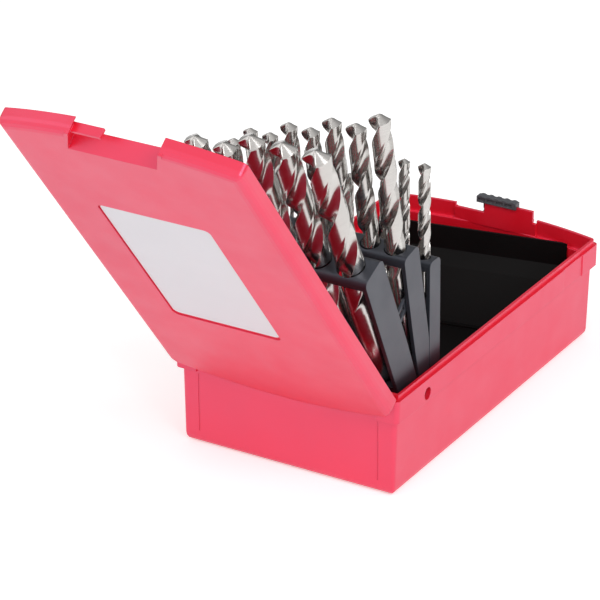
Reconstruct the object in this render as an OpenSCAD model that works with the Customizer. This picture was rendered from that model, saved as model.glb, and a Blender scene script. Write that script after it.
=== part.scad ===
// Drill bit case: a moulded case body with a hinged lid, three folding racks of
// twist drills, a black inner tray and a sliding latch.
// Millimetres. X runs along the hinge, Y from the hinge to the latch, Z up.
// The lid stands open and the racks stand up, as the case is used.

/* [Case body] */
// Outside width of the body, along the hinge
case_width = 115.2; // [104:0.2:140]
// Outside depth of the body at its corners
case_depth = 203.4; // [196:0.2:240]
// Height of the flange top above the table
base_height = 50.7; // [49:0.1:60]
// Thickness of the body's walls and floor
wall = 2.2; // [1.8:0.1:2.4]
// How far the front wall bows out past its corners
front_bow = 7.5; // [4:0.5:10]
// How much each wall leans in from the flange to the floor
side_draft = 0.8; // [0.4:0.1:1.2]
// Radius of the upright corners
corner_radius = 2.5; // [2:0.1:3.5]
// Radius of the edges round the floor
bottom_radius = 4; // [3:0.5:5]
// Height of the flange round the rim
flange_height = 11.4; // [9:0.2:13]
// How far the flange stands out from the body
flange_overhang = 2.3; // [1.8:0.1:3]
// Height of the raised lip on the flange
lip_height = 2.4; // [1:0.1:2.6]
// Thickness of the raised lip
lip_thickness = 1.4; // [1:0.1:1.6]
// How far the lip stands out from the body
lip_overhang = 1; // [0.4:0.1:1]
// Drop of the inner ledge behind the front flange, below the flange top
ledge_drop = 6; // [5:0.5:7]
// Half width of the rear wall that has no flange
rear_gap_half = 48.3; // [46:0.1:52]
// Width of the thin upright grooves in the rear wall
groove_width = 0.6; // [0.4:0.1:0.8]
// Depth of those grooves
groove_depth = 0.3; // [0.2:0.05:0.5]
// Length of the shallow step in each side of the flange
flange_step_length = 21; // [15:1:30]
// Depth of that step
flange_step_depth = 0.4; // [0.2:0.1:0.6]

/* [Lid] */
// Angle of the open lid from shut
lid_open = 128.5; // [110:0.5:129]
// Depth of the lid from its rim to its top
lid_depth = 8.25; // [8:0.05:14]
// Gap between the shut lid's rim and the flange
lid_gap = 0.25; // [0.2:0.05:0.6]
// Thickness of the lid's panel
lid_panel = 2.1; // [1.6:0.1:2.2]
// Thickness of the lid's side walls
lid_wall = 2; // [1.4:0.1:2.1]
// Radius along the lid's long outer edges
lid_edge_radius = 4; // [2:0.5:5]
// How far the lid's rear edge reaches behind the body
tail_reach = 15.3; // [12:0.1:15.8]
// How far that edge bows out past its corners
tail_bow = 10; // [8:0.5:10]
// Length of the latch recess in the lid
recess_length = 43.8; // [43.6:0.1:44.4]
// Middle of the recess at its back, to the right of the lid's middle
recess_middle = -4.4; // [-4.5:0.05:-4.2]
// Angle of the recess's ends, towards the right at the front
recess_skew = 23; // [22:0.5:24]
// Depth of the recess behind the front corners, at the lid's top
recess_reach = 5.8; // [4:0.2:8]
// How much further forward its back wall stands at the rim
recess_slope = 5.1; // [3:0.1:6]

/* [Label] */
// Length of the label, from the hinge towards the latch
label_length = 95.8; // [80:0.2:110]
// Width of the label, along the hinge
label_width = 55.6; // [45:0.2:70]
// Thickness of the label
label_thickness = 0.3; // [0.2:0.05:0.5]
// Depth of the pocket that it lies in
label_pocket = 0.9; // [0.6:0.1:1.1]
// Middle of the label, to the left of the lid's middle
label_left = 5; // [0:0.5:8]

/* [Lid hinge] */
// Distance of the hinge axis behind the body
hinge_back = 3.7; // [3.6:0.05:4.2]
// Height of the hinge axis above the flange top
hinge_up = 1; // [0.9:0.05:1.4]
// Distance of the middle of each hinge from the body's side
hinge_inset = 19.6; // [17.6:0.2:27.6]
// Outside diameter of the knuckles
knuckle_diameter = 6; // [5:0.1:6.4]
// Length of each knuckle
knuckle_length = 4; // [3:0.1:5]
// Gap between the knuckles along the pin
knuckle_gap = 0.3; // [0.2:0.05:0.5]
// Diameter of the hinge pins
pin_diameter = 2.4; // [2:0.1:3]

/* [Latch] */
// Length of the sliding grip
grip_length = 22.4; // [22:0.1:22.8]
// Thickness of the grip, front to back
grip_depth = 4.2; // [4.2:0.1:4.8]
// Height of the grip
grip_height = 3.3; // [3:0.1:4]
// How far the latch slides
latch_travel = 8.5; // [7:0.1:8.6]
// Length of the upright tab that carries the grip
tab_length = 27.4; // [27:0.1:27.8]
// Right end of the tab, from the middle of the case
tab_right = 21.4; // [21:0.1:21.5]
// Thickness of the tab
tab_thickness = 1.6; // [1.4:0.1:1.7]
// Height of the tab above the flange top
tab_height = 7.3; // [7:0.1:7.6]
// Length of the catch bar on the lid
catch_length = 16; // [15.8:0.1:16.6]

/* [Racks] */
// Thickness of the rack end plates and pivot pads
rack_plate = 2; // [1.6:0.1:2.4]
// Thickness of the pads that carry the rack pivots
pivot_pad = 1.5; // [1.2:0.1:1.9]
// Gap between each end plate and its pads
rack_gap = 0.5; // [0.3:0.1:0.8]
// Thickness of each rack's top bar
top_bar = 5; // [4:0.1:5.4]
// Depth of the sockets that hold the shank ends
socket_depth = 3; // [2:0.1:3.4]
// Clearance between a drill and its hole
drill_fit = 0.15; // [0.1:0.05:0.25]
// Radial clearance of the rack pivots
pivot_fit = 0.1; // [0.05:0.01:0.1]
// Width of the large, medium and small rack, front to back
large_width = 16.8; // [15.5:0.1:17]
medium_width = 13.4; // [12.4:0.1:13.5]
small_width = 10; // [9:0.1:10.1]
// Lean of each raised rack towards the hinge
large_lean = 25.9; // [25:0.1:27]
medium_lean = 13.4; // [13:0.1:14]
small_lean = 1.8; // [1.4:0.1:2.2]
// Distance from each pivot to the top of its rack
large_reach = 87; // [80:0.5:88]
medium_reach = 83.5; // [80:0.5:84]
small_reach = 84.8; // [80:0.5:88]

/* [Drills] */
// Gap between neighbouring drills in the large, medium and small rack
large_spacing = 3.9; // [3.5:0.1:4.5]
medium_spacing = 3.15; // [2.8:0.05:4]
small_spacing = 4.8; // [3:0.1:5]
// Depth that the drills stand in the large, medium and small rack
large_depth = 75.9; // [72:0.1:76.2]
medium_depth = 59.3; // [56:0.1:60.5]
small_depth = 45.8; // [42:0.2:47]
// Helix angle of the flutes
helix_angle = 30; // [26:1:34]

/* [Tray] */
// Thickness of the black tray
tray_sheet = 1.3; // [1:0.1:1.5]
// Angle of the tray's front panel across the case
tray_skew = 10.8; // [9:0.2:12]
// Height of the panel's top edge
tray_height = 47; // [44:0.5:48]
// Distance of the panel's top from the front corners
tray_set_back = 7.7; // [7:0.1:10]

/* [Hidden] */
$fn = 96;
eps = 0.01;
far = 400;
corner_steps = 6;
sharpest = 0.3;
bow_steps = 20;
edge_steps = 4;

red = [0.82, 0.04, 0.07];
black = [0.08, 0.08, 0.09];
grey = [0.3, 0.3, 0.32];
steel = [0.72, 0.71, 0.69];
white = [0.94, 0.94, 0.95];

half_width = case_width / 2;
half_depth = case_depth / 2;
bow_radius = (half_width ^ 2 + front_bow ^ 2) / (2 * front_bow);
bow_y = half_depth + front_bow - bow_radius;
flange_bottom = base_height - flange_height;
lip_top = base_height + lip_height;
ledge_z = base_height - ledge_drop;
ledge_back = 0.4 * half_depth;
front_y = half_depth + front_bow;
flange_step_start = half_depth - 36.2;
groove_foot = 7;
groove_stop = 2;

rim_z = base_height + lid_gap;
lid_top = rim_z + lid_depth;
panel_z = lid_top - lid_panel;
hinge_y = -half_depth - hinge_back;
hinge_z = base_height + hinge_up;
hinge_side = half_width - hinge_inset;
knuckle_foot = 5.2;
lip_play = 0.3;
tail_half = half_width + flange_overhang;
tail_radius = (tail_half ^ 2 + tail_bow ^ 2) / (2 * tail_bow);
tail_y = -half_depth - tail_reach + tail_radius;
tail_edge_radius = 1;
tail_corner = 5;
rear_wall_y = -half_depth - 0.9;
window_play = 0.5;
pin_play = 0.05;

tray_play = 0.4;
tray_step = 6.5;
tray_run = 21.4;
tray_panel = 12.5;
tray_foot = 3;

slide_play = 0.1;
lift_play = 0.3;
stop_margin = 0.6;
tab_back = front_y - 2.7;
tab_left = tab_right - tab_length;
tab_top = base_height + tab_height;
grip_left = tab_right - stop_margin - latch_travel - grip_length;
grip_bottom = tab_top - 0.85;
grip_top = grip_bottom + grip_height;
grip_back = tab_back - 1.2;
notch_drop = 1.8;
notch_left = tab_left - 17.1;
notch_right = tab_right + 1.9;
notch_width = notch_right - notch_left;
latch_wall_rise = 0.8;
skirt_bottom = base_height - notch_drop + lift_play;
skirt_depth = 1.3;
skirt_left = tab_left - 1.5;
rail_size = 0.6;
rail_low = 1.3;
rail_high = 2.5;
rib_radius = 2.9;
rib_rise = 0.5;
rib_count = 5;
pocket_depth = 0.8;
pocket_count = 4;
pocket_end = 2.4;
catch_gap = 0.6;
catch_rise = 1.4;
catch_top = grip_bottom - 0.4;
recess_back = half_depth - recess_reach;
recess_right = recess_middle + recess_length / 2;
recess_left = recess_middle - recess_length / 2;
recess_wall = 2;
recess_inset = 1;

rack_half = half_width - wall - pivot_pad - rack_gap;
pad_face = half_width - wall - pivot_pad;
pad_half = 4;
root = 0.4;
pad_top = base_height - 1.7;
blind_wall = 1;
bore_mouth = 0.3;

large_pivot = [-half_depth + 26.5, 43.4];
medium_pivot = [-half_depth + 36.7, 34];
small_pivot = [-half_depth + 46.1, 18.6];
large_offset = -4;
medium_offset = 2.6;
small_offset = -0.3;
large_boss = 3.5;
medium_boss = 3.2;
small_boss = 3;
large_trunnion = 2.95;
medium_trunnion = 2.4;
small_trunnion = 2.4;
large_taper = [12, 30];
medium_taper = [45, 30];
small_taper = [35, 20];
rack_corner = 3;
socket_floor = 2;
bar_inset = 0.8;

biggest = 13;
large_count = 6;
medium_biggest = biggest - large_count * 0.5;
medium_count = 8;
small_biggest = medium_biggest - medium_count * 0.5;
small_count = 11;
large_side = 3.1;
medium_side = 1.4;
small_side = 0.8;
large_first = rack_half - rack_plate - large_side - biggest / 2;
medium_first = rack_half - rack_plate - medium_side - medium_biggest / 2;
small_first = rack_half - rack_plate - small_side - small_biggest / 2;
// Standard jobber lengths, one for each half millimetre from 1 mm up
total_lengths = [34, 40, 49, 57, 61, 70, 75, 80, 86, 93, 93, 101, 109, 109, 117, 117, 125, 125,
    133, 133, 142, 142, 151, 151, 151];
flute_lengths = [12, 18, 24, 30, 33, 39, 43, 47, 52, 57, 57, 63, 69, 69, 75, 75, 81, 81, 87, 87,
    94, 94, 101, 101, 101];
point_slope = 0.6;
slender_share = 0.55;
twist_step = 36;

function size_index(d) = round((d - 1) / 0.5);
function total_of(d) = total_lengths[size_index(d)];
function flute_of(d) = flute_lengths[size_index(d)];
// Place of drill number i in a row that starts at x with diameter d
function row_x(x, d, gap, i) = x - i * d + 0.25 * i ^ 2 - gap * i;
function small_seat(d) = min(small_depth, slender_share * total_of(d));

// ---- helpers ----

module along_x(from, to) {
    translate([from, 0, 0]) rotate([90, 0, 90]) linear_extrude(to - from) children();
}

module both_sides() {
    children();
    mirror([1, 0, 0]) children();
}

// Points along an arc, from one angle to another
function arc(x, y, r, from, to, steps) =
    [for (i = [0 : steps]) let (a = from + (to - from) * i / steps) [x + r * cos(a), y + r * sin(a)]];

// The front edge of an outline: a corner, the bow and the other corner
function bowed_edge(half, rc, centre, big) =
    let (
        corner_y = centre + sqrt((big - rc) ^ 2 - (half - rc) ^ 2),
        lean = asin((half - rc) / (big - rc))
    )
    concat(
        arc(half - rc, corner_y, rc, 0, 90 - lean, corner_steps),
        arc(0, centre, big, 90 - lean + 2 * lean / bow_steps, 90 + lean - 2 * lean / bow_steps,
            bow_steps - 2),
        arc(rc - half, corner_y, rc, 90 + lean, 180, corner_steps)
    );

// Corner radius of an outline: inner outlines are sharper
function corner_of(grow) = max(sharpest, corner_radius + min(grow, 0));

// The body seen from above, grown outward by a distance
module outline(grow) {
    half = half_width + grow;
    rc = corner_of(grow);
    rear = -half_depth - grow;
    polygon(concat(
        bowed_edge(half, rc, bow_y, bow_radius + grow),
        arc(rc - half, rear + rc, rc, 180, 270, corner_steps),
        arc(half - rc, rear + rc, rc, 270, 360, corner_steps)
    ));
}

// A thin slab of the outline, for a hull
module slab(z, grow) {
    translate([0, 0, z]) linear_extrude(eps) outline(grow);
}

// The body's outside, with drafted walls and a rounded floor edge
module body_block() {
    hull() {
        slab(base_height - eps, 0);
        slab(flange_bottom, 0);
        for (turn = [0 : 90 / edge_steps : 90])
            slab(bottom_radius * (1 - sin(turn)), -side_draft - bottom_radius * (1 - cos(turn)));
    }
}

// The room inside the walls, which stand straight on their inner side
module cavity(inset) {
    translate([0, 0, wall]) linear_extrude(far) outline(-inset);
}

// The lip seen from above; its rear side stands in by a distance from the body's rear
module lip_shape(grow, rear) {
    intersection() {
        outline(grow);
        translate([-far, rear - half_depth]) square(2 * far);
    }
}

// The wider room inside the lip and above the ledge behind the front flange
module upper_room() {
    translate([0, 0, base_height]) linear_extrude(far) lip_shape(lip_overhang - lip_thickness, wall);
    translate([0, 0, ledge_z]) linear_extrude(far) difference() {
        lip_shape(lip_overhang - lip_thickness, half_depth - ledge_back);
        translate([notch_left, tab_back]) square([notch_width, far]);
    }
}

// Moves a rack from its pivot's own frame to its raised place
module raised(pivot, lean) {
    translate([0, pivot[0], pivot[1]]) rotate([lean, 0, 0]) children();
}

// Moves the lid from shut to open
module opened() {
    translate([0, hinge_y, hinge_z]) rotate([lid_open, 0, 0])
        translate([0, -hinge_y, -hinge_z]) children();
}

// ---- case body ----

module knuckle(from, to) {
    translate([from, hinge_y, hinge_z]) rotate([0, 90, 0])
        cylinder(h = to - from, d = knuckle_diameter);
}

module base_knuckles() {
    inner = knuckle_length / 2 + knuckle_gap;
    for (side = [-1, 1])
        for (start = [-inner - knuckle_length, inner]) {
            x = side * hinge_side + start;
            knuckle(x, x + knuckle_length);
            translate([x, hinge_y, base_height - knuckle_foot])
                cube([knuckle_length, hinge_back + wall / 2, knuckle_foot - 0.1]);
        }
}

module hinge_bores() {
    for (side = [-1, 1])
        translate([side * hinge_side - 10, hinge_y, hinge_z]) rotate([0, 90, 0])
            cylinder(h = 20, r = pin_diameter / 2 + pin_play);
}

module flange() {
    difference() {
        translate([0, 0, flange_bottom]) linear_extrude(flange_height) outline(flange_overhang);
        translate([-rear_gap_half, -half_depth - far, 0]) cube([2 * rear_gap_half, far, far]);
        both_sides() flange_step();
    }
}

module flange_step() {
    translate([half_width + flange_overhang - flange_step_depth, flange_step_start, 0])
        cube([far, flange_step_length, far]);
}

// The flat piece of front wall between the notch's ends, and the tab that stands on it
module latch_tab() {
    translate([notch_left, tab_back, ledge_z - 0.5])
        cube([notch_width, tab_thickness, ledge_drop + latch_wall_rise + 0.5]);
    translate([tab_left, tab_back, base_height])
        cube([tab_length, tab_thickness, tab_height]);
    translate([tab_left, tab_back + tab_thickness - eps, base_height + rail_low])
        cube([tab_length, rail_size + eps, rail_high - rail_low]);
}

module pivot_pads() {
    for (pivot = [large_pivot, medium_pivot, small_pivot])
        translate([pad_face, pivot[0] - pad_half, wall - root])
            cube([pivot_pad + root, 2 * pad_half, pad_top - wall + root]);
}

module pivot_bores() {
    translate([pad_face - 1, large_pivot[0], large_pivot[1]]) rotate([0, 90, 0])
        cylinder(h = 20, r = large_trunnion + pivot_fit);
    blind = half_width - side_draft - blind_wall;
    for (p = [[medium_pivot, medium_trunnion], [small_pivot, small_trunnion]])
        translate([pad_face - 1, p[0][0], p[0][1]]) rotate([0, 90, 0])
            cylinder(h = blind - pad_face + 1, r = p[1] + pivot_fit);
}

// How far the drafted wall has leaned in at a height
function lean_in(z) = side_draft * (flange_bottom - z) / (flange_bottom - bottom_radius);

module rear_grooves() {
    low = groove_foot;
    high = flange_bottom - groove_stop;
    for (x = [-rear_gap_half, rear_gap_half])
        along_x(x - groove_width / 2, x + groove_width / 2) polygon([
            [-half_depth - 1, low], [-half_depth - 1, high],
            [-half_depth + lean_in(high) + groove_depth, high],
            [-half_depth + lean_in(low) + groove_depth, low]
        ]);
}

module base_shell() {
    color(red) difference() {
        union() {
            difference() {
                union() {
                    body_block();
                    flange();
                    translate([0, 0, base_height - 1])
                        linear_extrude(lip_height + 1) lip_shape(lip_overhang, wall - lip_thickness);
                    base_knuckles();
                }
                cavity(wall);
                upper_room();
                translate([notch_left, half_depth - 10, base_height - notch_drop])
                    cube([notch_width, far, far]);
                rear_grooves();
            }
            latch_tab();
            both_sides() pivot_pads();
        }
        both_sides() pivot_bores();
        hinge_bores();
    }
}

// ---- black tray ----

module inner_tray() {
    top_y = (half_depth - tray_set_back) * cos(tray_skew);
    step_y = top_y - tray_step;
    foot_y = top_y - tray_run;
    step_z = tray_height - tray_panel;
    turn_z = step_z - tray_step;
    foot_z = wall + tray_sheet + 1;
    color(black) {
        intersection() {
            rotate([0, 0, tray_skew])
                along_x(-far, far)
                    polygon([
                        [top_y, tray_height], [top_y, step_z], [step_y, turn_z], [foot_y, foot_z],
                        [foot_y - tray_foot, foot_z], [foot_y - tray_foot, wall],
                        [foot_y + tray_sheet + 0.7, wall],
                        [step_y + tray_sheet + 0.3, turn_z - tray_sheet / 3],
                        [top_y + tray_sheet, step_z - tray_sheet / 3],
                        [top_y + tray_sheet, tray_height]
                    ]);
            cavity(wall + tray_play);
            translate([-far, 0, 0]) cube([far + rack_half - 2 * rack_plate, far, far]);
        }
        translate([0, 0, wall]) linear_extrude(tray_sheet) intersection() {
            outline(-bottom_radius - 0.6);
            translate([-far, -half_depth + 60])
                square(2 * far);
            rotate(tray_skew) translate([-far, -far]) square([2 * far, far + foot_y - 2]);
        }
    }
}

// ---- lid ----

// The lid seen from above: the body's front, and a bowed tail behind the hinge
module lid_outline(grow, tail_grow) {
    half = tail_half + grow;
    polygon(concat(
        bowed_edge(half, corner_of(grow), bow_y, bow_radius + flange_overhang + grow),
        [for (p = bowed_edge(half, tail_corner + grow, -tail_y, tail_radius + tail_grow)) -p]
    ));
}

module lid_slab(z, grow, tail_grow) {
    translate([0, 0, z]) linear_extrude(eps) lid_outline(grow, tail_grow);
}

// The lid's outside, rounded along its top edges
module lid_block() {
    hull() {
        lid_slab(rim_z, 0, 0);
        for (turn = [0 : 90 / edge_steps : 90])
            lid_slab(lid_top - eps - lid_edge_radius * (1 - sin(turn)),
                -lid_edge_radius * (1 - cos(turn)), -tail_edge_radius * (1 - cos(turn)));
    }
}

// The latch recess seen from the side
module recess_side(play) {
    polygon([
        [recess_back - play, lid_top + 1], [recess_back - play, lid_top],
        [recess_back + recess_slope - play, rim_z - 1], [far, rim_z - 1], [far, lid_top + 1]
    ]);
}

// The latch recess seen from above, from its back to a line further forward
module recess_plan(play, front) {
    start = recess_back - 2 * play;
    polygon([
        for (p = [[recess_left - play, start], [recess_right + play, start],
                [recess_right + play, front], [recess_left - play, front]])
            [p[0] + (p[1] - recess_back) * tan(recess_skew), p[1]]
    ]);
}

module recess_block(play, low, front) {
    intersection() {
        along_x(-far, far) recess_side(play);
        translate([0, 0, low]) linear_extrude(lid_top + 2 - low) recess_plan(play, front);
    }
}

module lid_knuckles() {
    for (side = [-1, 1]) {
        x = side * hinge_side - knuckle_length / 2;
        knuckle(x, x + knuckle_length);
        translate([x, hinge_y - 1.5, hinge_z])
            cube([knuckle_length, 1.5 - hinge_y + rear_wall_y, panel_z - hinge_z + 0.5]);
    }
}

module knuckle_windows() {
    inner = knuckle_length / 2 + knuckle_gap;
    for (side = [-1, 1])
        for (start = [-inner - knuckle_length - knuckle_gap, knuckle_length / 2])
            translate([side * hinge_side + start, hinge_y, hinge_z]) rotate([0, 90, 0])
                cylinder(h = knuckle_length + 2 * knuckle_gap, r = knuckle_diameter / 2 + window_play);
}

// The room under the lid in front of its hinge, grown outward by a distance
module lid_room(grow, height) {
    translate([0, 0, rim_z - 1]) linear_extrude(height + 1)
        intersection() {
            outline(grow);
            translate([-far, rear_wall_y]) square(2 * far);
        }
}

module lid_shell_shut() {
    difference() {
        union() {
            difference() {
                lid_block();
                lid_room(flange_overhang - lid_wall, lid_depth - lid_panel);
                lid_room(lip_overhang + lip_play, lip_height + lip_play - lid_gap);
                translate([-far, rear_wall_y - lid_wall - far, rim_z - 1])
                    cube([2 * far, far, lid_depth - lid_panel + 1]);
            }
            intersection() {
                union() {
                    recess_block(recess_wall, lip_top + lid_gap, front_y + 5);
                    recess_block(recess_wall, rim_z + 0.1, half_depth + 1);
                }
                translate([0, 0, rim_z]) linear_extrude(lid_depth) lid_outline(-recess_inset, 0);
            }
        }
        recess_block(0, rim_z - 2, front_y + 10);
        knuckle_windows();
        translate([-label_left, 0, lid_top - label_pocket]) linear_extrude(far)
            label_shape(0.6, 1.4);
    }
}

module label_shape(side, rear) {
    corner = 3;
    x = label_width / 2 + side;
    low = -label_length / 2 - rear - 1.2;
    high = label_length / 2 + side - 1.2;
    translate([-x + corner, low]) square([2 * (x - corner), high - low]);
    translate([-x, low + corner]) square([2 * x, high - low - 2 * corner]);
    for (px = [-x + corner, x - corner])
        for (py = [low + corner, high - corner])
            translate([px, py]) circle(corner);
}

module catch_bar() {
    low = base_height + catch_rise;
    translate([tab_left - catch_gap - catch_length, tab_back, low])
        cube([catch_length, tab_thickness - slide_play, catch_top - low]);
}

module lid_shell() {
    color(red) opened() difference() {
        union() {
            lid_shell_shut();
            catch_bar();
            lid_knuckles();
        }
        hinge_bores();
    }
}

module lid_label() {
    color(white) opened() translate([-label_left, 0, lid_top - label_pocket])
        linear_extrude(label_thickness) label_shape(0, 0);
}

module hinge_pin(side) {
    reach = 1.5 * knuckle_length + knuckle_gap;
    color(steel) translate([side * hinge_side - reach, hinge_y, hinge_z]) rotate([0, 90, 0])
        cylinder(h = 2 * reach, d = pin_diameter);
}

module hinge_pin_right() { hinge_pin(1); }
module hinge_pin_left() { hinge_pin(-1); }

// ---- latch ----

module latch_slider() {
    pitch = grip_length / rib_count;
    pocket = (grip_length - pocket_end) / pocket_count;
    slot_back = tab_back - slide_play;
    slot_front = tab_back + tab_thickness + slide_play;
    color(grey) difference() {
        union() {
            translate([grip_left, grip_back, grip_bottom])
                cube([grip_length, grip_depth, grip_height]);
            intersection() {
                for (i = [0 : rib_count - 1])
                    translate([grip_left + pitch * (i + 0.5), grip_back,
                        grip_top + rib_rise - rib_radius])
                        rotate([-90, 0, 0]) cylinder(h = grip_depth, r = rib_radius);
                translate([grip_left, grip_back, grip_top - 1])
                    cube([grip_length, grip_depth, grip_height]);
            }
            translate([skirt_left, slot_front, skirt_bottom])
                cube([grip_left + grip_length - skirt_left, skirt_depth,
                    grip_top - 1 - skirt_bottom]);
        }
        translate([-far / 2, slot_back, 0])
            cube([far, slot_front - slot_back, tab_top + slide_play]);
        translate([-far / 2, slot_back, base_height + rail_low - slide_play])
            cube([far, slot_front - slot_back + rail_size, rail_high - rail_low + 2 * slide_play]);
        for (i = [0 : pocket_count - 1])
            translate([grip_left + pocket * i + 0.8, grip_back - 1, grip_bottom + 0.7])
                cube([pocket - 0.8, 1 + pocket_depth, grip_height - 1.5]);
    }
}

// ---- racks ----

// One end plate seen from the side: Y is the front, Z up, the pivot at the origin
module rack_side(reach, offset_y, width, boss, taper) {
    back = offset_y - width / 2;
    front = offset_y + width / 2;
    translate([back, max(taper[0], taper[1])])
        square([width, reach - rack_corner - max(taper[0], taper[1])]);
    translate([back + rack_corner, reach - 2 * rack_corner])
        square([width - 2 * rack_corner, 2 * rack_corner]);
    for (y = [back + rack_corner, front - rack_corner])
        translate([y, reach - rack_corner]) circle(rack_corner);
    polygon([
        [-boss, 0], [boss, 0], [front, taper[1]], [front, max(taper[0], taper[1])],
        [back, max(taper[0], taper[1])], [back, taper[0]]
    ]);
    circle(boss);
}

// A bar across the rack, cut from the same side outline
module rack_bar(reach, offset_y, width, low, high) {
    intersection() {
        rack_side(reach, offset_y, width, 1, [1, 1]);
        translate([offset_y - width / 2, low]) square([width, high - low]);
    }
}

module rack_frame(reach, offset_y, width, boss, taper, seat, trunnion, pin_end) {
    along_x(-rack_half, rack_half) rack_bar(reach, offset_y, width, reach - top_bar, reach);
    along_x(-rack_half, rack_half) intersection() {
        rack_side(reach, offset_y, width, boss, taper);
        translate([offset_y - width / 2 + bar_inset, reach - seat - socket_floor])
            square([width - 2 * bar_inset, socket_floor + socket_depth]);
    }
    both_sides() {
        along_x(rack_half - rack_plate, rack_half)
            rack_side(reach, offset_y, width, boss, taper);
        translate([rack_half - 1, 0, 0]) rotate([0, 90, 0])
            cylinder(h = pin_end - rack_half + 1, r = trunnion);
    }
}

module rack_holes(reach, offset_y, first, big, gap, count, seat) {
    for (i = [0 : count - 1])
        translate([row_x(first, big, gap, i), offset_y, reach - seat])
            cylinder(h = seat + 5, d = big - 0.5 * i + 2 * drill_fit);
}

module rack_large() {
    color(black) raised(large_pivot, large_lean) difference() {
        rack_frame(large_reach, large_offset, large_width, large_boss, large_taper, large_depth,
            large_trunnion, half_width - bore_mouth);
        rack_holes(large_reach, large_offset, large_first, biggest, large_spacing, large_count,
            large_depth);
    }
}

module rack_medium() {
    color(black) raised(medium_pivot, medium_lean) difference() {
        rack_frame(medium_reach, medium_offset, medium_width, medium_boss, medium_taper,
            medium_depth, medium_trunnion, half_width - side_draft - blind_wall - bore_mouth);
        rack_holes(medium_reach, medium_offset, medium_first, medium_biggest, medium_spacing,
            medium_count, medium_depth);
    }
}

module rack_small() {
    color(black) raised(small_pivot, small_lean) difference() {
        union() {
            rack_frame(small_reach, small_offset, small_width, small_boss, small_taper,
                small_depth, small_trunnion, half_width - side_draft - blind_wall - bore_mouth);
            for (i = [0 : small_count - 1]) {
                d = small_biggest - 0.5 * i;
                translate([row_x(small_first, small_biggest, small_spacing, i), small_offset,
                    small_reach - small_depth])
                    cylinder(h = small_depth - small_seat(d) + socket_depth, d = d + 3);
            }
        }
        for (i = [0 : small_count - 1]) {
            d = small_biggest - 0.5 * i;
            translate([row_x(small_first, small_biggest, small_spacing, i), small_offset,
                small_reach - small_seat(d)])
                cylinder(h = small_depth + 5, d = d + 2 * drill_fit);
        }
    }
}

// A slotted loop that ties a rack to the next larger one
module link_loop(back, height, length, rise, tall, inner, outer, root) {
    slot = tall / 4;
    along_x(inner, outer) difference() {
        union() {
            polygon([
                [back + 3, height - tall / 2], [back + 3, height + tall / 2],
                [back, height + tall / 2], [back - length, height + tall / 2 - rise],
                [back - length, height - tall / 2 - rise], [back, height - tall / 2]
            ]);
            translate([back - length, height - rise]) circle(tall / 2);
        }
        polygon([
            [back - 0.8, height + slot], [back - length, height + slot - rise],
            [back - length, height - slot - rise], [back - 0.8, height - slot]
        ]);
        translate([back - length, height - rise]) circle(slot);
    }
    along_x(inner, root) translate([back + 0.6, height - tall / 2]) square([2.4, tall]);
}

module link_large() {
    color(black) raised(medium_pivot, medium_lean)
        link_loop(medium_offset - medium_width / 2, medium_reach - 26, 5.5, 2.6, 7,
            rack_half - rack_plate - 1.6, rack_half - rack_plate - 0.3, rack_half - rack_plate);
}

module link_medium() {
    color(black) raised(small_pivot, small_lean)
        link_loop(small_offset - small_width / 2, small_reach - 21, 2.4, 0.6, 5,
            rack_half - rack_plate - 1.05, rack_half - rack_plate - 0.3, rack_half - rack_plate);
}

module link_large_right() { link_large(); }
module link_large_left() { mirror([1, 0, 0]) link_large(); }
module link_medium_right() { link_medium(); }
module link_medium_left() { mirror([1, 0, 0]) link_medium(); }

// ---- drills ----

// Cross-section of the fluted part: two lands with two flutes between them
module flute_section(r) {
    polygon([
        for (turn = [0, 180])
            for (p = [[1, 0], [0.99, 42], [0.9, 84], [0.34, 128]])
                [r * p[0] * cos(p[1] + turn), r * p[0] * sin(p[1] + turn)]
    ]);
}

// A twist drill that stands on its shank end
module twist_drill(d) {
    r = d / 2;
    tip = r * point_slope;
    fluted = flute_of(d) - tip;
    shank = total_of(d) - flute_of(d);
    turn = 360 * fluted * tan(helix_angle) / (PI * d);
    chamfer = d / 16;
    sunk = d / 12;
    land = 0.99 * r;
    color(steel) {
        cylinder(h = chamfer, r1 = r - chamfer, r2 = r, $fn = 48);
        translate([0, 0, chamfer]) cylinder(h = shank - chamfer, r = r, $fn = 48);
        translate([0, 0, shank - sunk]) linear_extrude(fluted + sunk, twist = -turn,
            slices = ceil(turn / twist_step), segments = 8) flute_section(land);
        translate([0, 0, shank + fluted]) rotate(turn)
            linear_extrude(tip, scale = 0.12, segments = 8) flute_section(land);
    }
}

module large_drill(i) {
    d = biggest - 0.5 * i;
    raised(large_pivot, large_lean)
        translate([row_x(large_first, biggest, large_spacing, i), large_offset,
            large_reach - large_depth]) rotate(37 * i + 20) twist_drill(d);
}

module medium_drill(i) {
    d = medium_biggest - 0.5 * i;
    raised(medium_pivot, medium_lean)
        translate([row_x(medium_first, medium_biggest, medium_spacing, i), medium_offset,
            medium_reach - medium_depth]) rotate(53 * i + 12) twist_drill(d);
}

module small_drill(i) {
    d = small_biggest - 0.5 * i;
    raised(small_pivot, small_lean)
        translate([row_x(small_first, small_biggest, small_spacing, i), small_offset,
            small_reach - small_seat(d)]) rotate(71 * i) twist_drill(d);
}

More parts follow.
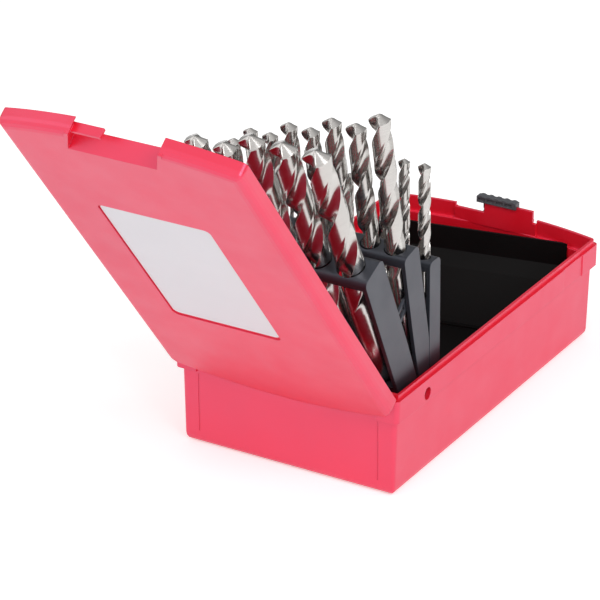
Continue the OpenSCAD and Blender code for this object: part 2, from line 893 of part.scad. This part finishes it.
module drill_13_0() { large_drill(0); }
module drill_12_5() { large_drill(1); }
module drill_12_0() { large_drill(2); }
module drill_11_5() { large_drill(3); }
module drill_11_0() { large_drill(4); }
module drill_10_5() { large_drill(5); }
module drill_10_0() { medium_drill(0); }
module drill_9_5() { medium_drill(1); }
module drill_9_0() { medium_drill(2); }
module drill_8_5() { medium_drill(3); }
module drill_8_0() { medium_drill(4); }
module drill_7_5() { medium_drill(5); }
module drill_7_0() { medium_drill(6); }
module drill_6_5() { medium_drill(7); }
module drill_6_0() { small_drill(0); }
module drill_5_5() { small_drill(1); }
module drill_5_0() { small_drill(2); }
module drill_4_5() { small_drill(3); }
module drill_4_0() { small_drill(4); }
module drill_3_5() { small_drill(5); }
module drill_3_0() { small_drill(6); }
module drill_2_5() { small_drill(7); }
module drill_2_0() { small_drill(8); }
module drill_1_5() { small_drill(9); }
module drill_1_0() { small_drill(10); }

base_shell();
inner_tray();
lid_shell();
lid_label();
hinge_pin_right();
hinge_pin_left();
latch_slider();
rack_large();
rack_medium();
rack_small();
link_large_right();
link_large_left();
link_medium_right();
link_medium_left();
drill_13_0();
drill_12_5();
drill_12_0();
drill_11_5();
drill_11_0();
drill_10_5();
drill_10_0();
drill_9_5();
drill_9_0();
drill_8_5();
drill_8_0();
drill_7_5();
drill_7_0();
drill_6_5();
drill_6_0();
drill_5_5();
drill_5_0();
drill_4_5();
drill_4_0();
drill_3_5();
drill_3_0();
drill_2_5();
drill_2_0();
drill_1_5();
drill_1_0();
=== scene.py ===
"""A drill bit case, open, with its three racks of twist drills raised."""

import math

import bmesh
import bpy
from mathutils import Matrix, Vector


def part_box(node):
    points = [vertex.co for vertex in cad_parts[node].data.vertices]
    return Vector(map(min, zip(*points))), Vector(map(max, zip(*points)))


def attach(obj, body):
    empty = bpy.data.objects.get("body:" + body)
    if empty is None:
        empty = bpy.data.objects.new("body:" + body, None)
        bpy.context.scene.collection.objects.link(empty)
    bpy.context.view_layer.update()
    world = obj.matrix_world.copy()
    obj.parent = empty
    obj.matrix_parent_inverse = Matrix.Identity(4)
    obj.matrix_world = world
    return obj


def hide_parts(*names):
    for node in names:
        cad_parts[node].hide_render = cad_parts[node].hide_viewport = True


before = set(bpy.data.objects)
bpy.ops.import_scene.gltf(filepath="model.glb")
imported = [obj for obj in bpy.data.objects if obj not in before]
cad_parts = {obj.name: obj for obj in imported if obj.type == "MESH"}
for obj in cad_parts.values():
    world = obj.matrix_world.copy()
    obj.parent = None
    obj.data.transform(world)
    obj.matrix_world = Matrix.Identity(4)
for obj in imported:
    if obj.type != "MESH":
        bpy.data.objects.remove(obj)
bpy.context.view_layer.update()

MM = 0.001

# ---- camera, as a real lens at a real place ----

CAMERA_AZIMUTH = 30.274
CAMERA_ELEVATION = 25.113
CAMERA_ROLL = 0.291
CAMERA_DISTANCE = 1.59574
CAMERA_TARGET = Vector((-0.01369, -0.064374, 0.068334))
CAMERA_LENS = 203.42
CAMERA_SHIFT = (-0.00394, 0.00198)


def make_camera():
    azimuth = math.radians(CAMERA_AZIMUTH)
    elevation = math.radians(CAMERA_ELEVATION)
    back = Vector((
        math.sin(azimuth) * math.cos(elevation),
        -math.cos(azimuth) * math.cos(elevation),
        math.sin(elevation),
    ))
    level = Vector((math.cos(azimuth), math.sin(azimuth), 0))
    upright = back.cross(level)
    roll = math.radians(CAMERA_ROLL)
    right = level * math.cos(roll) + upright * math.sin(roll)
    up = upright * math.cos(roll) - level * math.sin(roll)
    camera = bpy.data.objects.new("camera", bpy.data.cameras.new("camera"))
    turn = Matrix((right, up, back)).transposed().to_4x4()
    camera.matrix_world = Matrix.Translation(CAMERA_TARGET + back * CAMERA_DISTANCE) @ turn
    camera.data.sensor_width = 36
    camera.data.sensor_fit = "HORIZONTAL"
    camera.data.lens = CAMERA_LENS
    camera.data.shift_x, camera.data.shift_y = CAMERA_SHIFT
    camera.data.clip_end = 20
    bpy.context.collection.objects.link(camera)
    bpy.context.scene.camera = camera


# ---- node helpers ----


def new_material(name):
    material = bpy.data.materials.new(name)
    material.use_nodes = True
    tree = material.node_tree
    tree.nodes.clear()
    output = tree.nodes.new("ShaderNodeOutputMaterial")
    shader = tree.nodes.new("ShaderNodeBsdfPrincipled")
    tree.links.new(shader.outputs[0], output.inputs["Surface"])
    return material, tree, shader


def node(tree, kind, **values):
    made = tree.nodes.new("ShaderNode" + kind)
    for key, value in values.items():
        setattr(made, key, value)
    return made


def ramp(tree, source, low, high, start, end):
    """Maps source from low..high onto start..end, clamped."""
    made = node(tree, "MapRange")
    made.inputs["From Min"].default_value = low
    made.inputs["From Max"].default_value = high
    made.inputs["To Min"].default_value = start
    made.inputs["To Max"].default_value = end
    tree.links.new(source, made.inputs["Value"])
    return made.outputs[0]


def total(tree, first, second):
    """The sum of two values, at most 1."""
    made = node(tree, "Math", operation="ADD", use_clamp=True)
    tree.links.new(first, made.inputs[0])
    tree.links.new(second, made.inputs[1])
    return made.outputs[0]


def noise(tree, where, scale, detail=3.0, stretch=(1, 1, 1)):
    """Noise of that many cells to the unit of where."""
    mapping = node(tree, "Mapping")
    mapping.inputs["Scale"].default_value = stretch
    tree.links.new(where, mapping.inputs["Vector"])
    made = node(tree, "TexNoise")
    made.inputs["Scale"].default_value = scale
    made.inputs["Detail"].default_value = detail
    tree.links.new(mapping.outputs[0], made.inputs["Vector"])
    return made.outputs["Fac"]


def blend_colour(tree, amount, first, second):
    """The first colour at 0 and the second at 1."""
    mix = node(tree, "Mix", data_type="RGBA")
    mix.inputs[6].default_value = (*first, 1)
    mix.inputs[7].default_value = (*second, 1)
    tree.links.new(amount, mix.inputs[0])
    return mix.outputs[2]


def bump(tree, shader, height, distance, strength=1.0, edge=0.0):
    """Bumps the shader, over edges softened by that radius."""
    made = node(tree, "Bump")
    made.inputs["Distance"].default_value = distance
    made.inputs["Strength"].default_value = strength
    tree.links.new(height, made.inputs["Height"])
    if edge:
        soft = node(tree, "Bevel", samples=6)
        soft.inputs["Radius"].default_value = edge
        tree.links.new(soft.outputs[0], made.inputs["Normal"])
    tree.links.new(made.outputs[0], shader.inputs["Normal"])


# ---- materials ----

FLOW_SCALE = 14
FLOW_STRETCH = (1, 0.35, 1)
HANDLING_SCALE = 60
SPARK_SCALE = 2600


def moulded_plastic(name, colour, darker, roughness, grain, edge, ior=1.5, tint=(1, 1, 1)):
    """Moulded plastic: faint flow tones, a fine spark-eroded grain and rounded arrises."""
    material, tree, shader = new_material(name)
    where = node(tree, "TexCoord").outputs["Object"]
    flow = noise(tree, where, FLOW_SCALE, 2, FLOW_STRETCH)
    tree.links.new(blend_colour(tree, ramp(tree, flow, 0.35, 0.7, 0, 1), colour, darker),
                   shader.inputs["Base Color"])
    handling = noise(tree, where, HANDLING_SCALE, 4)
    tree.links.new(ramp(tree, handling, 0.3, 0.7, roughness - 0.04, roughness + 0.05),
                   shader.inputs["Roughness"])
    shader.inputs["IOR"].default_value = ior
    shader.inputs["Specular Tint"].default_value = (*tint, 1)
    bump(tree, shader, noise(tree, where, SPARK_SCALE, 2), grain, 0.6, edge)
    return material


def ground_steel():
    """Bright ground steel, with fine scratches that run round the drill."""
    material, tree, shader = new_material("ground_steel")
    where = node(tree, "TexCoord").outputs["UV"]
    shader.inputs["Metallic"].default_value = 1
    marks = noise(tree, where, 1, 4, (0.5, 9, 1))
    patches = noise(tree, where, 1, 2, (1.2, 0.5, 1))
    shade = ramp(tree, marks, 0.3, 0.7, 0, 1)
    tree.links.new(blend_colour(tree, shade, (0.62, 0.6, 0.58), (0.5, 0.48, 0.46)),
                   shader.inputs["Base Color"])
    tree.links.new(ramp(tree, patches, 0.3, 0.7, 0.17, 0.27), shader.inputs["Roughness"])
    bump(tree, shader, marks, 0.00002, 0.35, 0.00012)
    return material


def drawn_wire():
    """Steel wire, with fine lines along it."""
    material, tree, shader = new_material("drawn_wire")
    where = node(tree, "TexCoord").outputs["Object"]
    shader.inputs["Metallic"].default_value = 1
    along = (0.1, 1, 1)
    lines = noise(tree, where, 900, 2, along)
    tree.links.new(blend_colour(tree, lines, (0.62, 0.61, 0.6), (0.4, 0.4, 0.4)),
                   shader.inputs["Base Color"])
    shader.inputs["Roughness"].default_value = 0.3
    bump(tree, shader, noise(tree, where, 2000, 2, along), 0.00003, 0.5)
    return material


def label_card():
    """Coated white label stock with a faint tooth."""
    material, tree, shader = new_material("label_card")
    where = node(tree, "TexCoord").outputs["Object"]
    tone = noise(tree, where, 40, 4)
    tree.links.new(blend_colour(tree, tone, (0.8, 0.8, 0.84), (0.76, 0.76, 0.8)),
                   shader.inputs["Base Color"])
    shader.inputs["Roughness"].default_value = 0.42
    bump(tree, shader, noise(tree, where, 1800, 3), 0.00003, 0.5, 0.0002)
    return material


def paint(name, material):
    """Gives a CAD node one material in every slot."""
    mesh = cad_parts[name].data
    mesh.materials.clear()
    mesh.materials.append(material)
    for face in mesh.polygons:
        face.material_index = 0


# ---- twist drills ----

# Total and flute lengths of the jobber series, in millimetres by diameter.
JOBBER_TOTAL = {1: 34, 1.5: 40, 2: 49, 2.5: 57, 3: 61, 3.5: 70, 4: 75, 4.5: 80, 5: 86, 5.5: 93,
                6: 93, 6.5: 101, 7: 109, 7.5: 109, 8: 117, 8.5: 117, 9: 125, 9.5: 125, 10: 133,
                10.5: 133, 11: 142, 11.5: 142, 12: 151, 12.5: 151, 13: 151}
JOBBER_FLUTE = {1: 12, 1.5: 18, 2: 24, 2.5: 30, 3: 33, 3.5: 39, 4: 43, 4.5: 47, 5: 52, 5.5: 57,
                6: 57, 6.5: 63, 7: 69, 7.5: 69, 8: 75, 8.5: 75, 9: 81, 9.5: 81, 10: 87,
                10.5: 87, 11: 94, 11.5: 94, 12: 101, 12.5: 101, 13: 101}
HELIX_ANGLE = 30
POINT_SLOPE = 0.6
POINT_RELIEF = 0.16
POINT_DROP = 0.2
LIP_DIRECTION = 25
LAND_STEPS = 10
FLUTE_STEPS = 14
FLUTE_START = 92
MARGIN_TURN = 12
MARGIN_STEP = 2
CLEARANCE = 0.965
PULL_HEEL = (-0.02, 0.2)
PULL_LIP = (-0.3, 0.0595)
RUN_OUT = 1.1
RUN_OUT_FIRST = 0.03
ARRIS_DEPTH = 0.7
CHAMFER_SHARE = 16
RINGS_PER_LEAD = 22
LEAST_RINGS = 24
CAP_RINGS = 7
MARK_TURNS = 3


def drill_name(size):
    return "drill_%d_%d" % (int(size), round(size % 1 * 10))


def at_turn(degrees):
    """The point of the unit circle at that angle."""
    return Vector((math.cos(math.radians(degrees)), math.sin(math.radians(degrees))))


def flute_curve(t):
    """A point of the flute, from the land's heel at t = 0 to the next cutting edge at t = 1."""
    heel = at_turn(FLUTE_START) * CLEARANCE
    lip = Vector((-1, 0))
    return (heel * (1 - t) ** 3 + Vector(PULL_HEEL) * 3 * t * (1 - t) ** 2
            + Vector(PULL_LIP) * 3 * t ** 2 * (1 - t) + lip * t ** 3)


def half_section():
    """Points of one flute and then its land, which ends in the cutting edge, at radius 1."""
    land_start = MARGIN_TURN + MARGIN_STEP
    points = [at_turn(0), at_turn(MARGIN_TURN)]
    for i in range(LAND_STEPS):
        turn = land_start + (FLUTE_START - land_start) * i / LAND_STEPS
        points.append(at_turn(turn) * CLEARANCE)
    for i in range(FLUTE_STEPS):
        points.append(flute_curve(i / FLUTE_STEPS))
    return [Vector((p.x, -p.y)) for p in reversed(points)]


def behind_lip(i):
    """How far point i of the half section lies behind its cutting edge: 1 at the heel."""
    if i < FLUTE_STEPS:
        return (i + 1) / FLUTE_STEPS
    return 1 - (i + 1 - FLUTE_STEPS) / (LAND_STEPS + 2)


def section(depth):
    """The whole section; depth runs from 0, a plain circle, to 1, the full flutes."""
    half = half_section()
    points = half + [-p for p in half]
    return [p.lerp(p.normalized(), 1 - depth) for p in points]


def turned(point, angle, radius):
    """A point of the unit section, turned by an angle and scaled to the radius."""
    return Vector((
        radius * (point.x * math.cos(angle) - point.y * math.sin(angle)),
        radius * (point.x * math.sin(angle) + point.y * math.cos(angle)),
    ))


def drill_levels(size, shank, shoulder, lead):
    """Height, radius and flute depth of every ring, from the shank end to the point."""
    radius = size / 2
    chamfer = size / CHAMFER_SHARE
    levels = [(0, radius - chamfer, 0), (chamfer, radius, 0), (shank - 0.02 * size, radius, 0)]
    rings = max(LEAST_RINGS, int((shoulder - shank) / lead * RINGS_PER_LEAD))
    for i in range(rings + 1):
        z = shank + (shoulder - shank) * i / rings
        depth = min(1, (z - shank) / (RUN_OUT * size) + RUN_OUT_FIRST)
        levels.append((z, radius, math.sin(depth * math.pi / 2)))
    return levels


def build_drill(size):
    """A twist drill in millimetres, shank end at the origin, point up."""
    radius = size / 2
    length = JOBBER_TOTAL[size]
    tip = radius * POINT_SLOPE
    lead = math.pi * size / math.tan(math.radians(HELIX_ANGLE))
    shank = length - JOBBER_FLUTE[size]
    shoulder = length - tip - POINT_DROP * radius
    end_angle = math.radians(LIP_DIRECTION)
    start_angle = end_angle - 2 * math.pi * (shoulder - shank) / lead
    levels = drill_levels(size, shank, shoulder, lead)
    made = bmesh.new()
    uv = made.loops.layers.uv.new("UVMap")
    loops = []
    for z, ring_radius, depth in levels:
        angle = start_angle + 2 * math.pi * max(0, z - shank) / lead
        points = [turned(p, angle, ring_radius) for p in section(depth)]
        loops.append([made.verts.new((p.x, p.y, z)) for p in points])
    edge = section(1)
    count = len(edge)
    half = count // 2

    def put(corners, smooth=True):
        face = made.faces.new(corners)
        face.smooth = smooth
        for loop in face.loops:
            spot = loop.vert.co
            loop[uv].uv = (math.atan2(spot.y, spot.x) / math.pi * MARK_TURNS, spot.z)

    def band(low, high):
        for i in range(count):
            j = (i + 1) % count
            put((low[i], low[j], high[j], high[i]))

    heels_and_lips = [k + half * side for k in (FLUTE_STEPS - 1, half - 1) for side in (0, 1)]
    for low, high, level in zip(loops, loops[1:], levels):
        band(low, high)
        if level[2] > ARRIS_DEPTH:
            for i in heels_and_lips:
                made.edges.get((low[i], high[i])).smooth = False
    put(list(reversed(loops[0])), False)
    previous = loops[-1]
    for k in range(CAP_RINGS):
        share = 1 - k / CAP_RINGS
        ring = []
        for i, point in enumerate(edge):
            spot = turned(point * share, end_angle, radius)
            reach = point.length * share
            height = length - tip * reach - POINT_RELIEF * radius * behind_lip(i % half) * reach
            ring.append(made.verts.new((spot.x, spot.y, height)))
        band(previous, ring)
        if k == 0:
            for i in range(count):
                made.edges.get((ring[i], ring[(i + 1) % count])).smooth = False
        previous = ring
    crown = made.verts.new((0, 0, length))
    for i in range(count):
        put((previous[i], previous[(i + 1) % count], crown))
    mesh = bpy.data.meshes.new(drill_name(size))
    bmesh.ops.recalc_face_normals(made, faces=made.faces)
    made.to_mesh(mesh)
    made.free()
    return mesh


# ---- racks, as the case's own frame holds them ----

HALF_DEPTH = 101.7
RACKS = {
    "large": {"lean": 25.9, "pivot": (-HALF_DEPTH + 26.5, 43.4), "offset": -4.0, "reach": 87.0,
              "depth": 75.9, "biggest": 13, "count": 6},
    "medium": {"lean": 13.4, "pivot": (-HALF_DEPTH + 36.7, 34.0), "offset": 2.6, "reach": 83.5,
               "depth": 59.3, "biggest": 10, "count": 8},
    "small": {"lean": 1.8, "pivot": (-HALF_DEPTH + 46.1, 18.6), "offset": -0.3, "reach": 84.8,
              "depth": 45.8, "biggest": 6, "count": 11},
}
SLENDER_SHARE = 0.55


def rack_matrix(rack):
    """Places a rack's own frame, in metres, with its origin on the rack's pivot."""
    place = Matrix.Translation((0, rack["pivot"][0] * MM, rack["pivot"][1] * MM))
    return place @ Matrix.Rotation(math.radians(rack["lean"]), 4, "X")


def drill_centre(name):
    """Where the drill's axis lies across the case, from its CAD node."""
    low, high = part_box(name)
    return (low[0] + high[0]) / 2


def place_drills(steel):
    for row, rack in RACKS.items():
        for i in range(rack["count"]):
            size = rack["biggest"] - 0.5 * i
            depth = rack["depth"]
            if row == "small":
                depth = min(depth, SLENDER_SHARE * JOBBER_TOTAL[size])
            name = drill_name(size)
            mesh = build_drill(size)
            mesh.materials.append(steel)
            piece = bpy.data.objects.new("bright_" + name, mesh)
            bpy.context.collection.objects.link(piece)
            height = rack["reach"] - depth
            seat = Matrix.Translation((drill_centre(name), rack["offset"] * MM, height * MM))
            mesh.transform(rack_matrix(rack) @ seat @ Matrix.Scale(MM, 4))
            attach(piece, name)
            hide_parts(name)


# ---- studio ----

FLOOR_HALF = 6
FLOOR_GREY = 0.88
FLOOR_GLOW = 0.42
FLOOR_DROP = 0.0002
WORLD_BRIGHT = 1
WORLD_DIM = 0.25
LAMP_TARGET = Vector((0, 0, 0.05))


def make_floor():
    """A plain pale floor, which looks white and keeps the case's shadow."""
    made = bmesh.new()
    bmesh.ops.create_grid(made, x_segments=8, y_segments=8, size=FLOOR_HALF)
    mesh = bpy.data.meshes.new("floor")
    made.to_mesh(mesh)
    made.free()
    floor = bpy.data.objects.new("floor", mesh)
    floor.location.z = -FLOOR_DROP
    bpy.context.collection.objects.link(floor)
    material, tree, shader = new_material("floor")
    shader.inputs["Base Color"].default_value = (FLOOR_GREY, FLOOR_GREY, FLOOR_GREY, 1)
    shader.inputs["Roughness"].default_value = 0.8
    shader.inputs["Emission Color"].default_value = (1, 1, 1, 1)
    path = node(tree, "LightPath")
    seen = total(tree, total(tree, path.outputs["Is Camera Ray"], path.outputs["Is Glossy Ray"]),
                 path.outputs["Is Transmission Ray"])
    tree.links.new(ramp(tree, seen, 0, 1, 0, FLOOR_GLOW), shader.inputs["Emission Strength"])
    mesh.materials.append(material)


def make_world():
    """A studio that is bright on the hinge side and dim beyond the latch side."""
    world = bpy.data.worlds.new("studio")
    world.use_nodes = True
    bpy.context.scene.world = world
    tree = world.node_tree
    background = tree.nodes["Background"]
    background.inputs["Color"].default_value = (1, 1, 1, 1)
    parts = node(tree, "SeparateXYZ")
    tree.links.new(node(tree, "TexCoord").outputs["Generated"], parts.inputs[0])
    tree.links.new(ramp(tree, parts.outputs["Y"], -0.8, 0.9, WORLD_BRIGHT, WORLD_DIM),
                   background.inputs["Strength"])


def area_light(name, place, size, power):
    """A square soft box of that side in metres, turned to the case."""
    light = bpy.data.lights.new(name, "AREA")
    light.shape = "SQUARE"
    light.size = size
    light.energy = power
    made = bpy.data.objects.new(name, light)
    made.location = place
    made.rotation_euler = (LAMP_TARGET - Vector(place)).to_track_quat("-Z", "Y").to_euler()
    bpy.context.collection.objects.link(made)


make_camera()
make_floor()
make_world()
area_light("key", (1.5, -0.8, 1.4), 1.0, 18)
area_light("fill", (-1.5, -0.8, 1.2), 1.2, 3)

RED = moulded_plastic("red_plastic", (0.84, 0.004, 0.016), (0.78, 0.003, 0.013),
                      0.36, 0.00003, 0.0004, 2.2, (0.95, 0.6, 1))
BLACK = moulded_plastic("black_plastic", (0.004, 0.0035, 0.0035), (0.006, 0.0055, 0.0055),
                        0.5, 0.00004, 0.0003, 1.2)
RACK = moulded_plastic("rack_plastic", (0.014, 0.016, 0.022), (0.019, 0.021, 0.027),
                       0.4, 0.00004, 0.0004, 1.78, (0.82, 0.86, 1))
LATCH = moulded_plastic("latch_plastic", (0.075, 0.077, 0.087), (0.09, 0.092, 0.102),
                        0.45, 0.00005, 0.0004)

paint("base_shell", RED)
paint("lid_shell", RED)
paint("inner_tray", BLACK)
paint("latch_slider", LATCH)
paint("lid_label", label_card())
WIRE = drawn_wire()
paint("hinge_pin_right", WIRE)
paint("hinge_pin_left", WIRE)
for part in ("rack_large", "rack_medium", "rack_small", "link_large_right", "link_large_left",
             "link_medium_right", "link_medium_left"):
    paint(part, RACK)
place_drills(ground_steel())

bpy.context.scene.view_settings.view_transform = "Standard"
